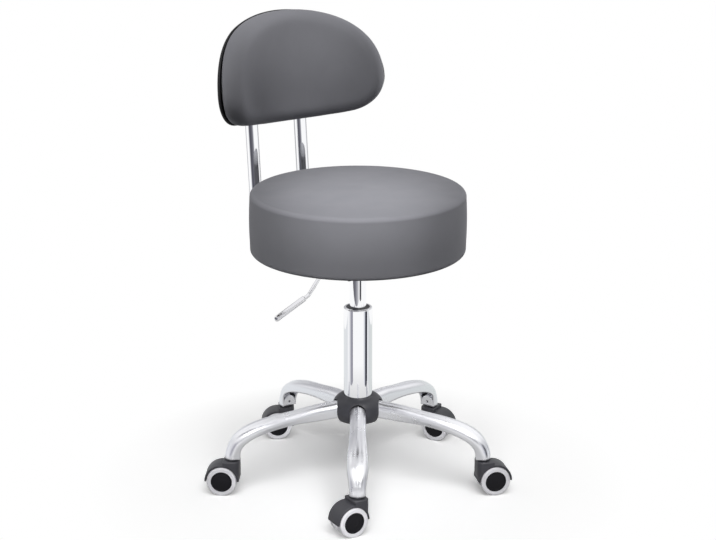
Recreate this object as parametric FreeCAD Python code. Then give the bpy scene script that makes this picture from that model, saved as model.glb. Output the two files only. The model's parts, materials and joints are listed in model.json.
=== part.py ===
import FreeCAD, Part
import math
import os

# A rolling stool with a round padded seat and a curved backrest, in millimetres.
# The sitter faces -Y, the sitter's right is -X, +Z is up.
# The origin lies on the column's axis at floor level.

Vec = FreeCAD.Vector

# Fits shared by every piece
running_clearance = 0.05
loose_clearance = 0.3
face_gap = 0.05
same_place = 1e-3

# Casters: two wheels on one axle, under a hood that swivels on a stem
wheel_radius = 25.0
wheel_width = 12.0
wheel_side_gap = 0.5
tread_depth = 7.2
tread_rounding = 2.2
disc_recess = 0.9
disc_rim = 1.6
axle_radius = 3.0
axle_end_cover = 2.0
caster_trail = 16.0
web_thickness = 13.0
axle_boss_radius = 8.0
hood_gap = 1.0
hood_wall = 3.0
hood_side_inset = 1.5
hood_top_rise = 5.5
hood_back_reach = 14.0
hood_turret_reach = 13.5
hood_corner_radius = 10.0
hood_slant = 9.0
stem_upper_radius = 5.5
stem_lower_radius = 4.0
stem_lower_length = 20.0
stem_collar_radius = 8.0
stem_recess_depth = 2.5
stem_gap = 2.5
caster_trail_angles = (175.0, -23.0, -63.0, 149.0, 142.0)

# Star base: pressed channel legs on a hub
first_leg_angle = -125.2
stem_circle_radius = 222.3
leg_rise = 68.0
leg_wall = 2.0
leg_hub_depth = 27.0
leg_run_depth = 19.0
leg_end_depth = 22.5
leg_hub_width = 27.0
leg_elbow_width = 35.0
leg_end_width = 27.5
leg_run_slope = 4.2
leg_run_pull = 143.0
leg_drop_pull = 50.0
leg_hub_taper_end = 0.3
leg_end_flare_start = 0.75
leg_swell_rise = (0.1, 0.55)
leg_swell_fall = (0.6, 1.0)
leg_corner_of_width = 0.85
leg_corner_of_depth = 0.62
leg_crown_of_width = 0.08
leg_stations = 12
leg_inside_overrun = 0.03
leg_end_plate = 2.5
leg_tongue = 2.5
leg_tongue_height = 19.0
leg_tongue_hole_radius = 2.2
stem_socket_wall = 2.0
stem_socket_depth = 18.0
hub_wall = 7.0
hub_above_leg = 16.0
hub_below_leg = 24.0
hub_cover_gap = 8.0
hub_cover_wall = 2.5
hub_cover_shoulder = 13.0
hub_cover_fullness = 0.75
hub_cover_skirt = 21.0
hub_cover_top = 4.0

# Column and gas spring
column_radius = 24.0
column_wall = 2.0
column_taper = 1.0
column_length = 202.0
column_floor = 4.0
column_lip = 2.0
bush_length = 80.0
lift_down = 40.0
lift_up = 100.0
travel_margin = 2.0
tube_radius = 14.0
tube_wall = 1.5
tube_insertion = 141.0
tube_head = 29.0
rod_radius = 5.0
rod_spigot_radius = 3.5
rod_guide_length = 18.0
piston_length = 15.0
washer_thickness = 2.0
washer_radius = 14.0
ball_radius = 2.0
ball_count = 12
rod_shoulder_radius = 11.0
rod_shoulder_length = 3.0
rod_tail = 5.0
clip_thickness = 1.2
clip_groove_depth = 1.0
clip_radius = 8.0
buffer_radius = 12.0

# Height lever, its release pin and the plate that carries them
lever_radius = 3.25
lever_arm = 30.0
lever_inner_end = 3.0
lever_run = 69.4
lever_drop_angle = 51.2
lever_drop_length = 46.6
lever_bend_radius = 11.0
handle_angle = 24.6
handle_length = 72.7
handle_radius = 4.9
handle_lap = 4.0
handle_bore_end = 12.0
trunnion_radius = 4.0
pin_radius = 3.0
pin_stand = 5.6
pin_play = 0.15
pin_length = 26.6
box_length = 74.0
box_width = 53.0
box_wall = 2.5
box_floor = 3.0
tube_stand_in_box = 5.0
lever_headroom = 24.5
lever_slot_width = 10.0
lever_slot_below = 6.0
lever_slot_above = 8.0
flange_length = 170.0
flange_width = 150.0
flange_thickness = 4.0
flange_corner = 12.0
socket_wall = 5.0
socket_drop = 4.0
bolt_radius = 3.0
bolt_head_radius = 6.0
bolt_head_height = 4.0
bolt_edge = 13.0
bolt_bite = 10.0

# Seat
seat_radius = 180.0
seat_height = 105.0
seat_crown = 2.5
seat_top_rounding = 12.0
seat_bottom_rounding = 6.0
seat_side_bulge = 1.5
board_inset = 13.0
board_thickness = 12.0

# Uprights and backrest
upright_radius = 11.0
upright_wall = 1.5
upright_spacing = 99.3
upright_gap = 52.0
upright_lean = 4.8
upright_bend = 32.0
upright_front_end = 20.0
upright_top_margin = 40.0
upright_cap = 2.0
back_lift = 72.4
back_width = 337.0
back_height = 191.0
back_corner_radius = 59.0
back_bottom_bow = 6.1
back_top_radius = 254.0
back_curve_radius = 233.0
back_stand = 22.0
shell_thickness = 4.0
shell_inset = 3.5
back_board_thickness = 10.0
back_board_inset = 18.0
back_rim = 37.0
back_end_rim = 14.0
back_crown = 19.0
back_end_crown = 1.5
back_end_sharpness = 16
back_edge_rounding = 18.0
back_drawn_in = 2.0
back_end_inset = 0.6
back_sections = 7
boss_radius = 9.0
screw_radius = 2.5
screw_head_radius = 5.0
screw_head_height = 2.5
screw_low = 45.0
screw_from_top = 66.0
screw_short = 2.0

# Heights and radii that follow from the sizes above, from the floor up
axle_height = wheel_radius
wheel_inner = web_thickness / 2 + wheel_side_gap
wheel_outer = wheel_inner + wheel_width
disc_radius = wheel_radius - tread_depth
hood_cavity_radius = wheel_radius + hood_gap
hood_radius = hood_cavity_radius + hood_wall
hood_half_width = wheel_outer - hood_side_inset
hood_top = axle_height + hood_radius + hood_top_rise
stem_recess_floor = hood_top - stem_recess_depth
leg_end_height = hood_top + stem_gap
leg_hub_height = leg_end_height + leg_rise
hub_top = leg_hub_height + hub_above_leg
hub_bottom = leg_hub_height - hub_below_leg
hub_radius = column_radius + hub_wall
cover_radius = hub_radius + hub_cover_gap + hub_cover_wall
cover_top = hub_top + hub_cover_top
cover_bottom = leg_hub_height - hub_cover_skirt
column_bottom = hub_bottom - washer_thickness
column_top = column_bottom + column_length
column_bore = column_radius - column_wall
tube_bottom = column_top - tube_insertion
tube_bore = tube_radius - tube_wall
piston_bottom = tube_bottom + rod_guide_length + lift_up + travel_margin
piston_top = piston_bottom + piston_length
head_bottom = piston_top + lift_down + travel_margin
tube_top = head_bottom + tube_head
bearing_bottom = column_bottom + column_floor
bearing_top = bearing_bottom + 2 * washer_thickness + 2 * ball_radius
shoulder_top = bearing_top + rod_shoulder_length
buffer_top = tube_bottom - lift_down - travel_margin
pin_top = tube_top + pin_stand
lever_height = pin_top + pin_play + lever_radius
seat_bottom = lever_height + lever_headroom
seat_top = seat_bottom + seat_height
board_radius = seat_radius - board_inset
flange_bottom = seat_bottom - flange_thickness
box_bottom = tube_top - tube_stand_in_box - box_floor
upright_run_height = flange_bottom - upright_radius - face_gap
upright_back = seat_radius + upright_gap + upright_radius
shell_front_radius = back_curve_radius - shell_thickness
back_board_front_radius = shell_front_radius - back_board_thickness
back_axis = -back_stand - back_curve_radius
back_top = back_lift + back_height
back_half = back_width / 2
back_waist = back_lift + back_bottom_bow + back_corner_radius
back_corner_x = back_half - back_corner_radius
back_belly_radius = ((back_corner_x ** 2 + (back_waist - back_lift) ** 2 - back_corner_radius ** 2)
                     / (2 * back_bottom_bow))
back_belly_centre = back_lift + back_belly_radius
back_arch_centre = back_top - back_top_radius
back_rise = back_waist - back_arch_centre
back_shoulder_radius = ((back_top_radius ** 2 - back_half ** 2 - back_rise ** 2)
                        / (2 * (back_top_radius - back_half)))
back_shoulder_x = back_half - back_shoulder_radius
leg_angles = [first_leg_angle + 360.0 / len(caster_trail_angles) * i for i in range(len(caster_trail_angles))]


def rod(radius, low, high, x=0.0, y=0.0):
    return Part.makeCylinder(radius, high - low, Vec(x, y, low))


def ring(outer, inner, low, high):
    return rod(outer, low, high).cut(rod(inner, low, high))


def cone(bottom_radius, top_radius, low, high):
    return Part.makeCone(bottom_radius, top_radius, high - low, Vec(0, 0, low))


def block(x0, x1, y0, y1, z0, z1):
    return Part.makeBox(x1 - x0, y1 - y0, z1 - z0, Vec(x0, y0, z0))


def line(a, b):
    return Part.LineSegment(a, b).toShape()


def arc(a, middle, b):
    return Part.Arc(a, middle, b).toShape()


def turned(edges):
    return Part.Face(Part.Wire(edges)).revolve(Vec(0, 0, 0), Vec(0, 0, 1), 360)


def placed(shape, angle, distance=0.0):
    copy = shape.copy()
    copy.translate(Vec(distance, 0, 0))
    copy.rotate(Vec(0, 0, 0), Vec(0, 0, 1), angle)
    return copy


def one(shape):
    solids = shape.removeSplitter().Solids
    return solids[0] if len(solids) == 1 else Part.makeCompound(solids)


def smooth_loft(sections):
    degree = 3
    return Part.makeLoft(sections, True, False, False, degree)


def swept(wire, radius):
    # a round bar along a wire that starts with a straight run
    start = wire.Edges[0]
    direction = start.tangentAt(start.FirstParameter)
    section = Part.Wire(Part.makeCircle(radius, start.valueAt(start.FirstParameter), direction))
    return wire.makePipeShell([section], True, False)


def bent_path(points, radius):
    # straight runs joined by tangent arcs of one radius
    edges = []
    last = points[0]
    for before, corner, after in zip(points, points[1:], points[2:]):
        back = (before - corner).normalize()
        ahead = (after - corner).normalize()
        half_turn = (math.pi - back.getAngle(ahead)) / 2
        reach = radius * math.tan(half_turn)
        start = corner + back * reach
        end = corner + ahead * reach
        towards_centre = (back + ahead).normalize()
        sag = radius / math.cos(half_turn) - radius
        edges.append(line(last, start))
        edges.append(arc(start, corner + towards_centre * sag, end))
        last = end
    edges.append(line(last, points[-1]))
    return Part.Wire(edges)


# Casters, drawn with the stem on the Z axis and the wheels trailing towards +X

def wheel_turn(edges):
    # a profile in (radius, 0, width) turned about Z, laid on the axle with its outer face towards +Y
    solid = turned(edges)
    solid.rotate(Vec(0, 0, 0), Vec(1, 0, 0), -90)
    solid.translate(Vec(caster_trail, 0, axle_height))
    return solid


def closed_profile(corners):
    points = [Vec(r, 0, w) for r, w in corners]
    return [line(a, b) for a, b in zip(points, points[1:] + points[:1])]


def wheel_disc():
    rim_start = disc_radius - disc_rim
    bore = axle_radius + running_clearance
    bore_end = wheel_outer - axle_end_cover
    rim_face = wheel_outer - disc_recess / 2
    corners = [(bore, wheel_inner), (disc_radius, wheel_inner),
               (disc_radius, rim_face), (rim_start, rim_face),
               (rim_start - disc_recess, wheel_outer - 2 * disc_recess), (0, wheel_outer - disc_recess),
               (0, bore_end), (bore, bore_end)]
    return wheel_turn(closed_profile(corners))


def wheel_tread():
    corners = [(disc_radius, wheel_inner), (wheel_radius, wheel_inner),
               (wheel_radius, wheel_outer), (disc_radius, wheel_outer)]
    tread = wheel_turn(closed_profile(corners))
    rounded = [e for e in tread.Edges if abs(e.BoundBox.ZLength - 2 * wheel_radius) < same_place]
    return tread.makeFillet(tread_rounding, [e for e in rounded if len(e.Vertexes) == 1])


def mirrored(shape):
    return shape.mirror(Vec(0, 0, 0), Vec(0, 1, 0))


def across(radius, half_length, x=caster_trail, z=axle_height):
    return Part.makeCylinder(radius, 2 * half_length, Vec(x, -half_length, z), Vec(0, 1, 0))


def caster_hood():
    wall_x = -hood_back_reach
    low = axle_height
    profile = Part.Wire([
        line(Vec(caster_trail - hood_cavity_radius, 0, low), Vec(wall_x, 0, low + hood_slant)),
        line(Vec(wall_x, 0, low + hood_slant), Vec(wall_x, 0, hood_top)),
        line(Vec(wall_x, 0, hood_top), Vec(hood_turret_reach, 0, hood_top)),
        line(Vec(hood_turret_reach, 0, hood_top), Vec(caster_trail, 0, low + hood_radius)),
        arc(Vec(caster_trail, 0, low + hood_radius),
            Vec(caster_trail + hood_radius * math.sqrt(0.5), 0, low + hood_radius * math.sqrt(0.5)),
            Vec(caster_trail + hood_radius, 0, low)),
        line(Vec(caster_trail + hood_radius, 0, low), Vec(caster_trail - hood_cavity_radius, 0, low))])
    half = Part.Face(profile).extrude(Vec(0, hood_half_width, 0))
    body = half.fuse(mirrored(half)).removeSplitter()
    on_wall = [e for e in body.Edges if abs(e.CenterOfMass.x - wall_x) < same_place]
    corners = [e for e in on_wall if e.BoundBox.ZLength > hood_slant and e.BoundBox.YLength < same_place]
    body = body.makeFillet(hood_corner_radius, corners)
    body = body.fuse(across(axle_boss_radius, web_thickness / 2))
    for side in (1, -1):
        cavity = across(hood_cavity_radius, hood_half_width)
        cavity.translate(Vec(0, side * (hood_half_width + web_thickness / 2), 0))
        body = body.cut(cavity)
    body = body.cut(across(axle_radius, web_thickness))
    stem_hole_floor = stem_recess_floor - stem_lower_length
    body = body.cut(rod(stem_lower_radius + running_clearance, stem_hole_floor, hood_top))
    body = body.cut(rod(stem_collar_radius + loose_clearance, stem_recess_floor, hood_top))
    return one(body)


def caster_axle():
    return across(axle_radius, wheel_outer - axle_end_cover - face_gap)


def caster_stem():
    collar = rod(stem_collar_radius, stem_recess_floor, leg_end_height)
    upper = rod(stem_upper_radius, leg_end_height, leg_end_height + stem_socket_depth)
    lower = rod(stem_lower_radius, stem_recess_floor - stem_lower_length + face_gap, stem_recess_floor)
    return one(collar.fuse(upper).fuse(lower))


# Star base

def leg_point(t):
    # the leg's middle line: out from the hub on a slope, then down to the stem
    slope = math.radians(leg_run_slope)
    start = Vec(hub_radius - leg_wall, 0, leg_hub_height)
    end = Vec(stem_circle_radius, 0, leg_end_height)
    pull_out = start + Vec(math.cos(slope), 0, -math.sin(slope)) * leg_run_pull
    pull_down = end + Vec(0, 0, leg_drop_pull)
    s = 1 - t
    point = start * s ** 3 + pull_out * (3 * s * s * t) + pull_down * (3 * s * t * t) + end * t ** 3
    along = (pull_out - start) * (s * s) + (pull_down - pull_out) * (2 * s * t) + (end - pull_down) * (t * t)
    return point, along.normalize()


def blend(t, start, end):
    u = min(max((t - start) / (end - start), 0.0), 1.0)
    return u * u * (3 - 2 * u)


def leg_section(t, wall, open_by):
    # an arched channel across the middle line, inset by the wall and let down past the open side
    point, along = leg_point(t)
    up = Vec(0, 1, 0).cross(along) * -1
    taper = 1 - blend(t, 0.0, leg_hub_taper_end)
    flare = blend(t, leg_end_flare_start, 1.0)
    depth = leg_run_depth + (leg_hub_depth - leg_run_depth) * taper + (leg_end_depth - leg_run_depth) * flare
    swell = blend(t, *leg_swell_rise) * (1 - blend(t, *leg_swell_fall))
    width = leg_hub_width + (leg_end_width - leg_hub_width) * t
    width += (leg_elbow_width - leg_end_width) * swell
    half = width / 2 - wall
    top = depth / 2 - wall
    bottom = -depth / 2 - open_by
    corner = min(leg_corner_of_width * half, leg_corner_of_depth * depth) - wall / 2
    crown = leg_crown_of_width * half

    def at(across_leg, height):
        return point + Vec(0, across_leg, 0) + up * height

    bow = corner * (1 - math.sqrt(0.5))
    brow = top - crown
    return Part.Wire([
        line(at(-half, bottom), at(half, bottom)),
        line(at(half, bottom), at(half, brow - corner)),
        arc(at(half, brow - corner), at(half - bow, brow - bow), at(half - corner, brow)),
        arc(at(half - corner, brow), at(0, top), at(corner - half, brow)),
        arc(at(corner - half, brow), at(bow - half, brow - bow), at(-half, brow - corner)),
        line(at(-half, brow - corner), at(-half, bottom))])


def leg():
    steps = [i / (leg_stations - 1) for i in range(leg_stations)]
    inside_steps = [t * (1 + 2 * leg_inside_overrun) - leg_inside_overrun for t in steps]
    outer = smooth_loft([leg_section(t, 0.0, 0.0) for t in steps])
    inner = smooth_loft([leg_section(t, leg_wall, leg_wall) for t in inside_steps])
    inside_edge = stem_circle_radius - leg_end_depth / 2
    half_tongue = leg_end_width / 2 - leg_wall
    tongue_centre = Vec(inside_edge, 0, leg_end_height + leg_tongue_height - half_tongue)
    tongue = block(inside_edge, inside_edge + leg_tongue, -half_tongue, half_tongue,
                   leg_end_height, tongue_centre.z)
    tongue = tongue.fuse(Part.makeCylinder(half_tongue, leg_tongue, tongue_centre, Vec(1, 0, 0)))
    tongue = tongue.cut(Part.makeCylinder(leg_tongue_hole_radius, leg_tongue, tongue_centre, Vec(1, 0, 0)))
    socket_top = leg_end_height + stem_socket_depth
    socket = rod(stem_upper_radius + stem_socket_wall, leg_end_height, socket_top, stem_circle_radius)
    plate = block(stem_circle_radius - leg_end_depth, stem_circle_radius + leg_end_depth,
                  -leg_end_width, leg_end_width, leg_end_height, leg_end_height + leg_end_plate)
    fittings = tongue.fuse(socket).fuse(plate).common(outer)
    channel = outer.cut(inner).fuse(fittings)
    channel = channel.cut(rod(stem_upper_radius, leg_end_height, socket_top, stem_circle_radius))
    return one(channel.cut(rod(hub_radius, hub_bottom, hub_top)))


def hub_socket():
    sleeve = rod(hub_radius, hub_bottom, hub_top)
    return one(sleeve.cut(column_taper_solid()))


def column_taper_solid():
    return cone(column_radius - column_taper, column_radius, column_bottom, hub_top)


def hub_cover():
    def shell(inset):
        side = cover_radius - inset
        neck = column_radius + hub_cover_wall
        top = cover_top - inset
        low = cover_bottom - inset
        shoulder = Vec(neck + (side - neck) * hub_cover_fullness, 0,
                       top - hub_cover_shoulder * (1 - hub_cover_fullness))
        foot = Vec(side, 0, low)
        hip = Vec(side, 0, top - hub_cover_shoulder)
        collar = Vec(neck, 0, top)
        return turned([line(Vec(0, 0, low), foot), line(foot, hip), arc(hip, shoulder, collar),
                       line(collar, Vec(0, 0, top)), line(Vec(0, 0, top), Vec(0, 0, low))])

    cover = shell(0.0).cut(shell(hub_cover_wall))
    cover = cover.cut(rod(column_radius + loose_clearance, cover_bottom, cover_top))
    arch_half = leg_hub_width / 2 + loose_clearance
    arch_top = leg_hub_height + leg_hub_depth / 2 + loose_clearance
    arch = block(hub_radius, cover_radius + hub_cover_wall, -arch_half, arch_half,
                 cover_bottom - hub_cover_wall, arch_top - arch_half)
    arch = arch.fuse(Part.makeCylinder(arch_half, cover_radius + hub_cover_wall - hub_radius,
                                       Vec(hub_radius, 0, arch_top - arch_half), Vec(1, 0, 0)))
    for angle in leg_angles:
        cover = cover.cut(placed(arch, angle))
    return one(cover)


# Column and gas spring

def outer_column():
    tube = column_taper_solid().fuse(rod(column_radius, hub_top, column_top))
    rim = [e for e in tube.Edges if abs(e.CenterOfMass.z - column_top) < same_place and len(e.Vertexes) == 1]
    tube = tube.makeFillet(column_wall, rim)
    tube = tube.cut(rod(column_bore - column_taper, bearing_bottom, hub_top))
    tube = tube.cut(rod(column_bore, hub_top, column_top - column_lip))
    tube = tube.cut(rod(column_bore - column_lip, column_top - column_lip, column_top))
    return one(tube.cut(rod(rod_radius + running_clearance, column_bottom, bearing_bottom)))


def guide_bush():
    bore = tube_radius + running_clearance
    neck_bottom = column_top - column_lip
    sleeve = ring(column_bore - face_gap, bore, column_top - bush_length, neck_bottom)
    return one(sleeve.fuse(ring(column_bore - column_lip - face_gap, bore, neck_bottom, column_top)))


def thrust_bearing():
    bore = rod_radius + loose_clearance
    lower = ring(washer_radius, bore, bearing_bottom, bearing_bottom + washer_thickness)
    upper = ring(washer_radius, bore, bearing_top - washer_thickness, bearing_top)
    ball_circle = (washer_radius + bore) / 2
    middle = (bearing_bottom + bearing_top) / 2
    balls = []
    for i in range(ball_count):
        turn = math.radians(360.0 / ball_count * i)
        centre = Vec(ball_circle * math.cos(turn), ball_circle * math.sin(turn), middle)
        balls.append(Part.makeSphere(ball_radius - face_gap, centre))
    return Part.makeCompound([lower, upper] + balls)


def piston_rod():
    bar = rod(rod_radius, column_bottom - rod_tail, piston_bottom)
    bar = bar.fuse(rod(rod_shoulder_radius, bearing_top, shoulder_top))
    bar = bar.fuse(rod(rod_spigot_radius, piston_bottom, piston_top))
    groove_top = column_bottom - loose_clearance
    groove = ring(rod_radius, rod_radius - clip_groove_depth, groove_top - clip_thickness, groove_top)
    return one(bar.cut(groove))


def piston():
    return ring(tube_bore - running_clearance, rod_spigot_radius, piston_bottom, piston_top)


def rod_clip():
    top = column_bottom - loose_clearance
    clip = ring(clip_radius, rod_radius - clip_groove_depth, top - clip_thickness, top)
    mouth = rod_radius - clip_groove_depth
    return one(clip.cut(block(0, clip_radius, -mouth, mouth, top - clip_thickness, top)))


def rubber_buffer():
    return ring(buffer_radius, rod_radius, shoulder_top, buffer_top)


def pressure_tube():
    tube = rod(tube_radius, tube_bottom, tube_top).cut(rod(tube_bore, tube_bottom, head_bottom))
    return one(tube.cut(rod(pin_radius + running_clearance, head_bottom, tube_top)))


def rod_guide():
    return ring(tube_bore, rod_radius + running_clearance, tube_bottom, tube_bottom + rod_guide_length)


def release_pin():
    bar = rod(pin_radius, pin_top - pin_length, pin_top - pin_radius)
    return one(bar.fuse(Part.makeSphere(pin_radius, Vec(0, 0, pin_top - pin_radius))))


# Seat plate, lever and seat

def rounded_plate(length, width, corner, low, high):
    plate = block(-length / 2, length / 2, -width / 2, width / 2, low, high)
    upright_edges = [e for e in plate.Edges if e.BoundBox.ZLength > (high - low) / 2]
    return plate.makeFillet(corner, upright_edges)


def bolt_places():
    x = flange_length / 2 - bolt_edge
    y = flange_width / 2 - bolt_edge
    return [(x, y), (x, -y), (-x, y), (-x, -y)]


def mount_plate():
    inner_x = box_length / 2 - box_wall
    inner_y = box_width / 2 - box_wall
    plate = rounded_plate(flange_length, flange_width, flange_corner, flange_bottom, seat_bottom)
    plate = plate.fuse(block(-box_length / 2, box_length / 2, -box_width / 2, box_width / 2,
                             box_bottom, flange_bottom))
    plate = plate.cut(block(-inner_x, inner_x, -inner_y, inner_y, box_bottom + box_floor, seat_bottom))
    plate = plate.fuse(rod(tube_radius + socket_wall, box_bottom - socket_drop, tube_top))
    plate = plate.cut(rod(tube_radius, box_bottom - socket_drop, tube_top))
    plate = plate.cut(block(-box_length / 2, -inner_x, -lever_slot_width / 2, lever_slot_width / 2,
                            lever_height - lever_slot_below, lever_height + lever_slot_above))
    plate = plate.cut(across(trunnion_radius + running_clearance, box_width, -lever_arm, lever_height))
    for x, y in bolt_places():
        plate = plate.cut(rod(bolt_radius, flange_bottom, seat_bottom, x, y))
    return one(plate)


def seat_bolts():
    bolts = []
    for x, y in bolt_places():
        head = rod(bolt_head_radius, flange_bottom - bolt_head_height, flange_bottom, x, y)
        bolts.append(one(head.fuse(rod(bolt_radius, flange_bottom, seat_bottom + bolt_bite, x, y))))
    return Part.makeCompound(bolts)


def lever_points():
    drop = math.radians(lever_drop_angle)
    slope = math.radians(handle_angle)
    inner = Vec(lever_inner_end, 0, lever_height)
    first = Vec(-lever_run, 0, lever_height)
    second = first + Vec(-math.cos(drop), 0, -math.sin(drop)) * lever_drop_length
    along_handle = Vec(-math.cos(slope), 0, -math.sin(slope))
    return inner, first, second, along_handle


def lever_rod():
    inner, first, second, along_handle = lever_points()
    tip = second + along_handle * (handle_length - handle_bore_end)
    bar = swept(bent_path([inner, first, second, tip], lever_bend_radius), lever_radius)
    return one(bar.fuse(across(trunnion_radius, box_width / 2 + box_wall, -lever_arm, lever_height)))


def lever_handle():
    second, along_handle = lever_points()[2:]
    start_offset = handle_lap + lever_bend_radius / 2
    start = second + along_handle * start_offset
    length = handle_length - start_offset - handle_radius
    bore_length = handle_length - start_offset - handle_bore_end
    sleeve = Part.makeCylinder(handle_radius, length, start, along_handle)
    sleeve = sleeve.fuse(Part.makeSphere(handle_radius, start + along_handle * length))
    return one(sleeve.cut(Part.makeCylinder(lever_radius, bore_length, start, along_handle)))


def seat_board():
    board = rod(board_radius, seat_bottom, seat_bottom + board_thickness)
    for x, y in bolt_places():
        board = board.cut(rod(bolt_radius, seat_bottom, seat_bottom + bolt_bite, x, y))
    return one(board)


def seat_cushion():
    # crowned top, rounded edges and a side that stands out a little between them
    low = seat_bottom
    edge_top = seat_top - seat_crown
    side = seat_radius - seat_side_bulge
    bottom_bow = seat_bottom_rounding * (1 - math.sqrt(0.5))
    top_bow = seat_top_rounding * (1 - math.sqrt(0.5))
    inner_edge = side - seat_top_rounding
    crown_radius = (inner_edge ** 2 + seat_crown ** 2) / (2 * seat_crown)
    middle = inner_edge / 2
    crown_middle = seat_top - crown_radius + math.sqrt(crown_radius ** 2 - middle ** 2)
    edges = [
        line(Vec(0, 0, low), Vec(side - seat_bottom_rounding, 0, low)),
        arc(Vec(side - seat_bottom_rounding, 0, low), Vec(side - bottom_bow, 0, low + bottom_bow),
            Vec(side, 0, low + seat_bottom_rounding)),
        arc(Vec(side, 0, low + seat_bottom_rounding), Vec(seat_radius, 0, (low + edge_top) / 2),
            Vec(side, 0, edge_top - seat_top_rounding)),
        arc(Vec(side, 0, edge_top - seat_top_rounding), Vec(side - top_bow, 0, edge_top - top_bow),
            Vec(inner_edge, 0, edge_top)),
        arc(Vec(inner_edge, 0, edge_top), Vec(middle, 0, crown_middle), Vec(0, 0, seat_top)),
        line(Vec(0, 0, seat_top), Vec(0, 0, low))]
    return one(turned(edges).cut(rod(board_radius, low, low + board_thickness)))


# Uprights and backrest, drawn in the backrest's own frame: the uprights' axes stand on Y = 0,
# Z = 0 is the level of the seat's top, and the whole frame then leans back

def leaned(shape):
    copy = shape.copy()
    copy.rotate(Vec(0, 0, 0), Vec(1, 0, 0), -upright_lean)
    copy.translate(Vec(0, upright_back, seat_top))
    return copy


def screw_places():
    half = upright_spacing / 2
    return [(x, back_lift + z) for x in (-half, half) for z in (screw_low, back_height - screw_from_top)]


def through(radius, x, z, front, back):
    return Part.makeCylinder(radius, back - front, Vec(x, front, z), Vec(0, 1, 0))


def upright(side):
    lean = math.radians(upright_lean)
    x = side * upright_spacing / 2
    drop = seat_top - upright_run_height
    length = back_top - upright_top_margin
    top = Vec(x, upright_back + length * math.sin(lean), seat_top + length * math.cos(lean))
    corner = Vec(x, upright_back - drop * math.tan(lean), upright_run_height)
    path = bent_path([top, corner, Vec(x, upright_front_end, upright_run_height)], upright_bend)
    tube = swept(path, upright_radius).cut(swept(path, upright_radius - upright_wall))
    down = Vec(0, -math.sin(lean), -math.cos(lean))
    tube = tube.fuse(Part.makeCylinder(upright_radius, upright_cap, top, down))
    for place_x, z in screw_places():
        if place_x * side > 0:
            hole = through(screw_radius, place_x, z, -2 * upright_radius, 2 * upright_radius)
            tube = tube.cut(leaned(hole))
    return one(tube)


def back_joins(inset):
    # where the lower arc meets the corner and where the shoulder meets the top arc
    belly = Vec(0, 0, back_belly_centre)
    arch = Vec(0, 0, back_arch_centre)
    to_corner = (Vec(back_corner_x, 0, back_waist) - belly).normalize()
    to_shoulder = (Vec(back_shoulder_x, 0, back_waist) - arch).normalize()
    return belly + to_corner * (back_belly_radius - inset), arch + to_shoulder * (back_top_radius - inset)


def back_edges_at(x):
    # the heights of the outline's bottom and top at a distance from the middle
    low_join, high_join = back_joins(0.0)
    if abs(x) < low_join.x:
        bottom = back_belly_centre - math.sqrt(back_belly_radius ** 2 - x ** 2)
    else:
        bottom = back_waist - math.sqrt(back_corner_radius ** 2 - (abs(x) - back_corner_x) ** 2)
    if abs(x) < high_join.x:
        return bottom, back_arch_centre + math.sqrt(back_top_radius ** 2 - x ** 2)
    return bottom, back_waist + math.sqrt(back_shoulder_radius ** 2 - (abs(x) - back_shoulder_x) ** 2)


def arc_about(centre, radius, a, b):
    # the short arc between two points of a circle
    middle = ((a - centre) + (b - centre)).normalize() * radius
    return arc(a, centre + middle, b)


def back_prism(inset):
    # the backrest seen square on: bowed bottom, round lower corners, wide shoulders and an arched top
    def flip(p):
        return Vec(-p.x, p.y, p.z)

    low_join, high_join = back_joins(inset)
    hip = Vec(back_half - inset, 0, back_waist)
    corner = Vec(back_corner_x, 0, back_waist)
    shoulder = Vec(back_shoulder_x, 0, back_waist)
    corner_radius = back_corner_radius - inset
    shoulder_radius = back_shoulder_radius - inset
    outline = Part.Wire([
        arc(flip(low_join), Vec(0, 0, back_lift + inset), low_join),
        arc_about(corner, corner_radius, low_join, hip),
        arc_about(shoulder, shoulder_radius, hip, high_join),
        arc(high_join, Vec(0, 0, back_top - inset), flip(high_join)),
        arc_about(flip(shoulder), shoulder_radius, flip(high_join), flip(hip)),
        arc_about(flip(corner), corner_radius, flip(hip), flip(low_join))])
    outline.translate(Vec(0, -back_curve_radius, 0))
    return Part.Face(outline).extrude(Vec(0, back_curve_radius + 2 * upright_radius, 0))


def curved_sheet(outer, inner, inset):
    low = back_lift - back_height
    high = back_top + back_height
    sheet = rod(outer, low, high, 0, back_axis).cut(rod(inner, low, high, 0, back_axis))
    return sheet.common(back_prism(inset))


def backrest_shell():
    shell = curved_sheet(back_curve_radius, shell_front_radius, shell_inset)
    inside = rod(shell_front_radius, back_lift, back_top, 0, back_axis)
    for x, z in screw_places():
        boss = through(boss_radius, x, z, -back_stand - 2 * boss_radius, -upright_radius - face_gap)
        shell = shell.fuse(boss.cut(inside))
    for x, z in screw_places():
        shell = shell.cut(through(screw_radius, x, z, back_axis, 0))
    return one(leaned(shell))


def screw_tip():
    return back_axis + math.sqrt(back_board_front_radius ** 2 - (upright_spacing / 2) ** 2) + screw_short


def backrest_board():
    board = curved_sheet(shell_front_radius, back_board_front_radius, back_board_inset)
    for x, z in screw_places():
        board = board.cut(through(screw_radius, x, z, screw_tip(), 0))
    return one(leaned(board))


def backrest_screws():
    screws = []
    for x, z in screw_places():
        shank = through(screw_radius, x, z, screw_tip(), upright_radius)
        head = through(screw_head_radius, x, z, upright_radius, upright_radius + screw_head_height)
        screws.append(leaned(one(shank.fuse(head))))
    return Part.makeCompound(screws)


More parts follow.
